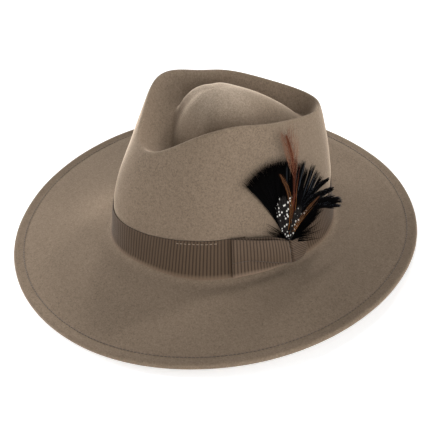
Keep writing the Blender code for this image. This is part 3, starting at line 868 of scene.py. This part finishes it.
def barb_mesh(name, groups, layer, material, slot, node, trim_plane_uv=False):
    """One piece from groups of (paths, out, uv, half width, taper power, half depth)."""
    parts = []
    for paths, out, uv, half_width, taper, half_depth in groups:
        count, steps = paths.shape[:2]
        base = FEATHER_START * 1000 + FEATHER_PITCH * 1000 * layer
        q = np.linspace(0, 1, steps)
        profile = np.minimum(1, 0.55 + 2.0 * q) * (1 - 0.88 * q**taper)
        widths = np.broadcast_to(half_width / 1000 * profile, (count, steps))
        depths = np.broadcast_to(half_depth / 1000 * profile, (count, steps))
        place = paths if trim_plane_uv else uv
        parts.append(strand_arrays(in_trim(paths, base + out), widths, depths, TRIM_AWAY, place))
    return dress(strands(name, parts, material), "feather_trim", slot, node)


def quill(bend, tip, steps=24, out=0.35, end=1.0):
    """One strand along a feather's middle."""
    share = np.linspace(0, end, steps)
    path = bend_between(np.zeros(2), np.array(bend, float), np.array(tip, float), share)[None]
    uv = np.zeros((1, steps, 2))
    uv[..., 0] = share
    return path, np.full((1, steps), out), uv


def hairs(*routes, side=0.0):
    """Loose single barbs, each given by its start, bend and end."""
    q = np.linspace(0, 1, 12)
    paths = np.array([bend_between(*(np.array(point, float) for point in route), q) for route in routes])
    uv = np.full(paths.shape, side)
    uv[..., 0] = q
    return paths, np.full(paths.shape[:2], 0.6) + 1.2 * q, uv


def root_wisps(count, leans, reaches):
    """Loose barbs that curl out of the feathers' root, between two leans and two lengths."""
    routes = []
    for number in range(count):
        lean = leans[0] + (leans[1] - leans[0]) * (number + RNG.uniform(0, 1)) / count
        reach = RNG.uniform(*reaches)
        start = RNG.uniform((-2, 1), (2, 6))
        end = turned(np.array([0.0, reach]), lean)
        curl = turned(np.array([0.0, reach * 0.55]), lean - RNG.uniform(-22, 22))
        routes.append((start, curl, end))
    return hairs(*routes)


def even_rim(reach):
    return lambda leans: np.full_like(leans, reach)


def skirt_rim(leans):
    return np.interp(leans, (52, 66, 76, 84), (50, 50, 44, 20))


def black_fans(material):
    def left_rim(lean):
        return np.interp(lean, (-24, -12, 0, 14), (76.5, 78, 77.5, 74))

    body = fan_barbs(-23, 13, lambda lean: left_rim(lean) * 0.98, 620, 0.045)
    haze = fan_barbs(-25, 14, lambda lean: left_rim(lean) * 1.05, 420, 0.05)
    wisps = root_wisps(13, (-50, -29), (19, 33))
    groups = [(*body, 0.60, 2.0, 0.10), (*haze, 0.14, 1.2, 0.05), (*wisps, 0.36, 1.3, 0.10)]
    barb_mesh("black_fan_barbs", groups, 0, material, "black_feather", "black_fan_feather")

    groups = []
    for lean, reach, spread in SIDE_CLUMPS:
        # most_grey=1.0 lets about a tenth of these barbs take the painted grey-blue sheen.
        clump = fan_barbs(lean - spread, lean + spread, even_rim(reach), 34, 0.045,
                          spread=0.9, most_grey=1.0)
        groups.append((*clump, 0.50, 5.0, 0.12))
    fill = fan_barbs(11, 58, lambda lean: np.interp(lean, (11, 30, 58), (62, 57, 50)), 300, 0.10)
    skirt = fan_barbs(52, 84, skirt_rim, 260, 0.16, spread=0.3)
    loose = root_wisps(40, (70, 112), (22, 42))
    groups += [(*fill, 0.45, 2.2, 0.10), (*skirt, 0.36, 1.8, 0.10), (*loose, 0.38, 1.3, 0.10)]
    barb_mesh("black_side_barbs", groups, 1, material, "black_feather", "black_side_feather")


def biots(material):
    tips = (((9, 30), (52, 37)), ((9, 32), (54.5, 26)), ((12, 33), (56, 11)))
    for number, (bend, tip) in enumerate(tips, 1):
        half_width = (2.8, 3.4, 6.0)[number - 1]
        vane = vane_barbs(bend, tip, half_width, 0.72, 0.40, 16, start=0.25, ragged=0.05, steps=6)
        groups = [(*vane, 0.42, 4.0, 0.10), (*quill(bend, tip), 0.45, 2.0, 0.30)]
        node = f"biot_feather_{number}"
        barb_mesh(f"biot_barbs_{number}", groups, 1 + number, material, "black_feather", node)


def brown_hackles():
    rust = brown_feather_material("rust_hackle", srgb(88, 42, 25), srgb(158, 118, 92), srgb(96, 50, 32))
    gold = srgb(150, 98, 50)
    striped = brown_feather_material("striped_hackle", srgb(9, 6, 5), gold, srgb(78, 48, 27), 0.70)
    bend, tip = (24, 50), (16, 94)
    vane = vane_barbs(bend, tip, 1.9, 0.66, 0.45, 9, start=0.62, ragged=0.12, steps=8, lift=0.4)
    fine = vane_barbs(bend, tip, 9.2, 0.66, 0.34, 21, start=0.56, ragged=0.18, steps=9, lift=0.9)
    streaks = hairs(*TALL_STREAKS)
    groups = [(*vane, 0.24, 1.6, 0.06), (*fine, 0.07, 1.2, 0.05), (*quill(bend, tip), 0.42, 2.0, 0.30)]
    groups.append((*streaks, 0.34, 1.3, 0.1))
    barb_mesh("tall_hackle_barbs", groups, 5, rust, "brown_feather", "tall_hackle")
    for name, node, bend, tip, layer, edges in (
        ("striped_hackle_front_barbs", "striped_hackle_front", (15, 35), (3.5, 64), 6, FRONT_EDGES),
        ("striped_hackle_rear_barbs", "striped_hackle_rear", (11, 17), (38, 27), 7, REAR_EDGES),
    ):
        vane = vane_barbs(bend, tip, 1.8, 0.5, 0.46, 12, start=0.16, ragged=0.16, steps=8)
        groups = [(*vane, 0.22, 1.8, 0.06), (*quill(bend, tip), 0.26, 2.0, 0.2)]
        groups.append((*hairs(*edges, side=1.0), 0.26, 1.6, 0.12))
        barb_mesh(name, groups, layer, striped, "brown_feather", node)


def guinea_feathers(material):
    for name, node, bend, tip, half_width, layer in (
        ("guinea_front_barbs", "guinea_feather_front", (-4, 28), (4.8, 39), 8.2, 8),
        ("guinea_rear_barbs", "guinea_feather_rear", (10, 20), (16.5, 22), 6.8, 9),
    ):
        vane = vane_barbs(bend, tip, half_width, 0.55, 0.30, 34, start=0.06, ragged=0.05, steps=7, lift=0.12)
        groups = [(*vane, 0.34, 3.0, 0.05), (*quill(bend, tip), 0.30, 2.0, 0.2)]
        barb_mesh(name, groups, layer, material, "spotted_feather", node, trim_plane_uv=True)


def quill_binding(material):
    """Thread wound round the bundle of quills that the bow hides."""
    turns, steps = 26, 26 * 18
    share = np.linspace(0, 1, steps)
    angle = share * turns * math.tau
    centre = np.stack([0 * share, -1.0 - 13.0 * share], -1)
    swell = 0.80 + 0.20 * np.sin(math.pi * np.clip(share * 1.3, 0, 1))
    across = np.cos(angle) * 3.5 * swell
    depth = 2.9 + np.sin(angle) * 1.5 * swell
    path = in_trim(centre + np.stack([across, 0 * share], -1), depth)[None]
    radius = np.full((1, steps), 0.00027)
    winding = strand_arrays(path, radius, radius, TRIM_UP, np.zeros((1, steps, 2)), sides=6)
    piece = strands("quill_winding", [winding], material)
    core = []
    for step in range(9):
        drop = -0.6 - 14.0 * step / 8
        ring = np.arange(20) * math.tau / 20
        size = 0.98 if 0 < step < 8 else 0.6
        slice_points = np.stack([np.cos(ring) * 3.3 * size, 0 * ring + drop], -1)
        core.append(in_trim(slice_points, 2.9 + np.sin(ring) * 1.3 * size))
    grid = np.array(core)
    count = grid.shape[1]
    faces = [tuple(range(count))[::-1], tuple(range(8 * count, 9 * count))]
    for row in range(8):
        for k in range(count):
            a, b = row * count + k, row * count + (k + 1) % count
            faces.append((a, b, b + count, a + count))
    bundle = make("quill_bundle", grid, faces, material, np.zeros((9, count, 2)))
    dress(piece, "feather_trim", "thread", "quill_binding")
    dress(bundle, "feather_trim", "thread", "quill_binding")


# ---------------------------------------------------------------- inside
SWEATBAND, SWEATBAND_LOW, SWEATBAND_WIDTH = 0.0011, 0.0045, 0.0340
LINING, LINING_TIP_HEIGHT = 0.0004, 0.0860


def sweatband(material):
    """Leather strip with its ends butted at the back; its free top edge stands a little off the felt."""
    degrees = np.linspace(180.35, 539.65, 620)
    rows = np.array([0, 0.015, 0.04, 0.10, 0.22, 0.36, 0.50, 0.64, 0.78, 0.90, 0.96, 0.985, 1])[:, None]
    angles = np.radians(degrees)[None, :]
    heights = SWEATBAND_LOW + (SWEATBAND_WIDTH - SWEATBAND_LOW) * rows + 0.0003 * np.sin(5 * angles) * rows
    wave = 0.5 + 0.5 * np.sin(9 * angles + 1.0) * np.sin(4 * angles)
    swell = 0.0004 * np.sin(math.pi * rows) * (0.6 + 0.4 * np.sin(23 * angles))
    off = 0.0006 + SWEATBAND / 2 + 0.0009 * wave * rows**3 + swell
    grid = wall(np.broadcast_to(degrees % 360, heights.shape), heights, -FELT - off)
    edge = np.clip(np.minimum(rows, 1 - rows) / 0.03, 0, 1)
    relief = np.broadcast_to(0.00025 * (np.sqrt(edge) - 1), grid.shape[:2])
    piece = shell("sweatband_leather", grid, SWEATBAND, material, relief=relief)
    dress(piece, "hat", "leather", "sweatband")


def sweatband_stitches(material):
    """A zigzag seam near the bottom edge, and the tacks that close the butted ends."""
    degrees = np.linspace(181, 539, 361)
    heights = 0.0070 + 0.0018 * (np.arange(361) % 2)
    off = FELT + 0.0006 + SWEATBAND + 0.0004
    line = wall(degrees % 360, heights, -off)
    away = -outward(np.radians(degrees[:-1]))
    seam = stitches("sweatband_zigzag_stitches", line, 0.00026, 0.06, 0.0003, material, away)
    dress(seam, "hat", "thread", "sweatband_thread")
    rungs = np.linspace(0.0070, 0.0320, 22)
    line = wall(180 + 0.9 * (2 * (np.arange(22) % 2) - 1), rungs, -off - 0.0001)
    tacks = stitches("sweatband_end_stitches", line, 0.00026, 0.06, 0.0003, material, np.array([0, -1.0, 0]))
    dress(tacks, "hat", "thread", "sweatband_thread")


def lining(material):
    """Satin strip gathered up to a flat oval tip; the pleats deepen towards the seam."""
    columns = 960
    angles = math.tau * np.arange(columns) / columns
    base = break_points(angles)
    start = wall(np.degrees(angles), SWEATBAND_WIDTH + 0.0010, -FELT - 0.0016)
    levels = [start]
    for height, share in ((0.060, 0.66), (LINING_TIP_HEIGHT, 0.54)):
        oval = base * np.array([share + 0.06, share, 0]) + np.array([0, 0.004, height])
        levels.append(oval)
    rows = np.linspace(0, 1, 44)[:, None, None]
    low, middle, high = (level[None] for level in levels)
    hump = 2 * middle - (low + high) / 2
    grid = low * (1 - rows) ** 2 + 2 * (0.35 * hump + 0.65 * middle) * rows * (1 - rows) + high * rows**2
    phase = RNG.uniform(0, math.tau, 6)
    warp = 0.10 * np.sin(7 * angles + phase[0]) + 0.06 * np.sin(13 * angles + phase[1])
    pleat = np.abs(np.sin(24 * angles + 9 * warp + phase[2])) ** 0.8
    pleat = 0.75 * pleat + 0.25 * np.abs(np.sin(41 * angles - 7 * warp + phase[3]))
    depth = 0.0003 + 0.0026 * rows[..., 0] ** 1.4
    slack = 0.5 + 0.5 * np.sin(5 * angles + 9 * rows[..., 0] + phase[4])
    soft = 0.0012 * np.sin(math.pi * rows[..., 0]) * slack
    inward = -outward(angles)[None] * 0.92 - np.array([0, 0, 0.39])
    grid = grid + inward * (depth * pleat[None] + soft)[..., None]
    side = shell("lining_gathered_satin", grid, LINING, material, wrap=True)
    dress(side, "hat", "satin", "lining_side")

    shares = np.concatenate([np.linspace(0.04, 0.92, 18), [0.95, 0.975, 0.99, 1.0]])[:, None, None]
    rim = high * np.array([0.965, 0.965, 0])
    rim = rim + np.array([0, 0.0, LINING_TIP_HEIGHT + 0.0003])
    centre = np.array([0, 0.004, LINING_TIP_HEIGHT + 0.0003])
    oval = centre + (rim - centre) * shares
    pucker = 0.0006 * np.clip((shares[..., 0] - 0.6) / 0.4, 0, 1) ** 2 * (pleat[None] - 0.5)
    slack = -0.0012 * (1 - shares[..., 0] ** 2)
    oval = oval + np.array([0, 0, 1.0]) * (pucker + slack)[..., None]
    thickness = np.array([0, 0, LINING])
    middle_point = centre + np.array([0, 0, -0.0012])
    middles = [middle_point, middle_point - thickness]
    tip = capped("lining_tip_satin", middles, oval, oval - thickness, material)
    dress(tip, "hat", "satin", "lining_tip")


def size_label(material):
    """A blank woven tag at the back: its ends are folded under and it bows off the leather."""
    degrees = np.linspace(173, 187, 60)
    share = np.linspace(0, 1, 60)[None, :]
    rows = np.linspace(0, 1, 20)[:, None]
    heights = 0.014 + 0.017 * rows + 0.0002 * np.sin(7 * share)
    off = 0.0006 + SWEATBAND + 0.0007 + 0.0005 * np.sin(math.pi * share) * np.sin(math.pi * rows)
    grid = wall(np.broadcast_to(degrees, heights.shape), heights, -FELT - off)
    fold = 0.00030 * np.clip((0.10 - np.minimum(share, 1 - share)) / 0.02, 0, 1)
    relief = np.broadcast_to(fold, grid.shape[:2])
    piece = shell("blank_size_tag", grid, 0.0004, material, relief=relief, flip=True)
    dress(piece, "hat", "label", "size_label")


# ---------------------------------------------------------------- stage
def floor_material():
    surface = Surface("studio_floor", Roughness=0.9)
    haze = surface.noise(6, 2, 0.5)
    surface.link(surface.ramp(haze, (0.3, grey(0.93)), (0.7, grey(0.95))), "Base Color")
    east, north = surface.part(surface.where, 0), surface.part(surface.where, 1)
    apart = surface.math("ADD", surface.math("MULTIPLY", east, east), surface.math("MULTIPLY", north, north))
    # Painted light: the floor glows, lighting the hat from below and keeping the backdrop white; the glow is
    # dimmer near the hat so a faint contact shadow shows there.
    glow = surface.ramp(surface.math("MULTIPLY", apart, 0.1), (0.08, grey(0.38)), (0.55, grey(0.94)))
    surface.link(glow, "Emission Color")
    surface.shader.inputs["Emission Strength"].default_value = 1.0
    return surface.material


def stage():
    """A pale floor that curves up into a low wall, like a studio's paper sweep."""
    rings = [(3.0, 0.0), (4.0, 0.1), (4.8, 0.35), (5.4, 0.8), (5.8, 1.4), (6.0, 2.2)]
    turns = 72
    verts = [(0, 0, -0.0002)]
    for radius, height in rings:
        for turn in range(turns):
            angle = 2 * math.pi * turn / turns
            verts.append((radius * math.cos(angle), radius * math.sin(angle), height - 0.0002))
    faces = [(0, 1 + turn, 1 + (turn + 1) % turns) for turn in range(turns)]
    for ring in range(len(rings) - 1):
        inner, outer = 1 + ring * turns, 1 + (ring + 1) * turns
        for turn in range(turns):
            following = (turn + 1) % turns
            faces.append((inner + turn, outer + turn, outer + following, inner + following))
    make("studio_floor", verts, faces, floor_material())


def area_light(name, location, target, size, power, colour=(1, 1, 1)):
    data = bpy.data.lights.new(name, "AREA")
    data.shape = "DISK"
    data.size = size
    data.energy = power
    data.color = colour
    light = bpy.data.objects.new(name, data)
    light.location = location
    light.rotation_mode = "QUATERNION"
    light.rotation_quaternion = (Vector(target) - Vector(location)).to_track_quat("-Z", "Y")
    bpy.context.scene.collection.objects.link(light)


def soft_spot(name, location, target, spread, power, radius=0.12):
    """A narrow lamp with a soft rim, for one part of the hat."""
    data = bpy.data.lights.new(name, "SPOT")
    data.energy = power
    data.spot_size = math.radians(spread)
    data.spot_blend = 1.0
    data.shadow_soft_size = radius
    light = bpy.data.objects.new(name, data)
    light.location = location
    light.rotation_mode = "QUATERNION"
    light.rotation_quaternion = (Vector(target) - Vector(location)).to_track_quat("-Z", "Y")
    bpy.context.scene.collection.objects.link(light)


def lights_and_camera():
    world = bpy.data.worlds.new("studio")
    world.use_nodes = True
    world.node_tree.nodes["Background"].inputs["Color"].default_value = (1.0, 0.995, 0.985, 1)
    world.node_tree.nodes["Background"].inputs["Strength"].default_value = 0.12
    bpy.context.scene.world = world
    area_light("key", (-1.30, -0.90, 0.50), (0, 0, 0.08), 0.8, 16.5)
    area_light("fill", (1.23, -0.44, 0.92), (0, 0, 0.08), 1.0, 9.6)
    area_light("low_side", (1.50, 0.50, 0.25), (0, 0, 0.08), 0.8, 7.0)
    area_light("side", (0.70, 1.10, 0.75), (0, 0, 0.08), 0.8, 3.2)
    area_light("back", (-1.30, 0.40, 0.70), (0, 0, 0.08), 0.7, 4.7)
    soft_spot("front_brim_spot", (-0.40, -0.85, 0.85), (-0.080, -0.150, 0.01), 14, 37)
    soft_spot("rear_brim_spot", (-0.80, 0.65, 0.80), (-0.08, 0.13, 0.01), 14, 62)
    soft_spot("crown_spot", (-0.25, 0.85, 1.00), (0, -0.01, 0.125), 12, 54)
    soft_spot("crown_far_spot", (-0.75, 0.65, 0.95), (0, -0.01, 0.125), 12, 38)
    soft_spot("dent_rear_spot", (0.25, -0.90, 1.10), (-0.030, 0.056, 0.120), 3.4, 27, radius=0.015)
    soft_spot("dent_spot", (0.30, 0.20, 1.25), (-0.022, -0.052, 0.118), 3.2, 34, radius=0.015)
    data = bpy.data.cameras.new("camera")
    data.sensor_width = 36
    data.lens = 83.3
    camera = bpy.data.objects.new("camera", data)
    place = Vector((0.68032, -0.23964, 0.58339))
    aim = Vector((0.02762, -0.00458, 0.0304))
    upright = (aim - place).to_track_quat("-Z", "Y")
    tilt = Matrix.Rotation(math.radians(-4.166), 4, "Z")
    camera.matrix_world = Matrix.Translation(place) @ upright.to_matrix().to_4x4() @ tilt
    bpy.context.scene.collection.objects.link(camera)
    bpy.context.scene.camera = camera
    bpy.context.scene.view_settings.view_transform = "Standard"
    bpy.context.scene.view_settings.look = "None"


stage()
lights_and_camera()
FELT_WOOL = felt_material()
# The band's copy of the ribbon is darker and warmer than the bow's: the darkening is painted shade on the
# band, the warmer tint is the ribbon's colour.
GROSGRAIN = ribbon_material("grosgrain_band_painted_shade", (0.81, 0.78, 0.73, 1))
BOW_GROSGRAIN = ribbon_material("grosgrain_bow", (0.99, 0.99, 0.99, 1))
DARK_THREAD = thread_material("dark_thread", srgb(80, 64, 51))
PALE_THREAD = thread_material("pale_thread", srgb(138, 119, 99))
felt_body(FELT_WOOL)
hem_stitching(DARK_THREAD)
hatband(GROSGRAIN)
band_tacks(PALE_THREAD)
BLACK_BARBS, GUINEA = black_feather_material(), guinea_material()
bow_loop(BOW_GROSGRAIN)
bow_tail(BOW_GROSGRAIN)
black_fans(BLACK_BARBS)
biots(BLACK_BARBS)
brown_hackles()
guinea_feathers(GUINEA)
quill_binding(DARK_THREAD)
LEATHER, SATIN, LABEL = leather_material(), satin_material(), label_material()
sweatband(LEATHER)
sweatband_stitches(PALE_THREAD)
lining(SATIN)
size_label(LABEL)
carried = {
    "wire": steel_material(),
    "leather": LEATHER,
    "satin": SATIN,
    "plastic": plastic_material(),
    "label": LABEL,
    "ribbon": GROSGRAIN,
    "thread": DARK_THREAD,
    "black_feather": BLACK_BARBS,
    "brown_feather": DARK_THREAD,
    "spotted_feather": GUINEA,
    "felt": FELT_WOOL,
}
slots = {entry["node"]: entry["material_slot"] for entry in frame["record"]["subparts"]}
for name, node in frame["nodes"].items():
    node.data.materials.clear()
    node.data.materials.append(carried[slots[name]])
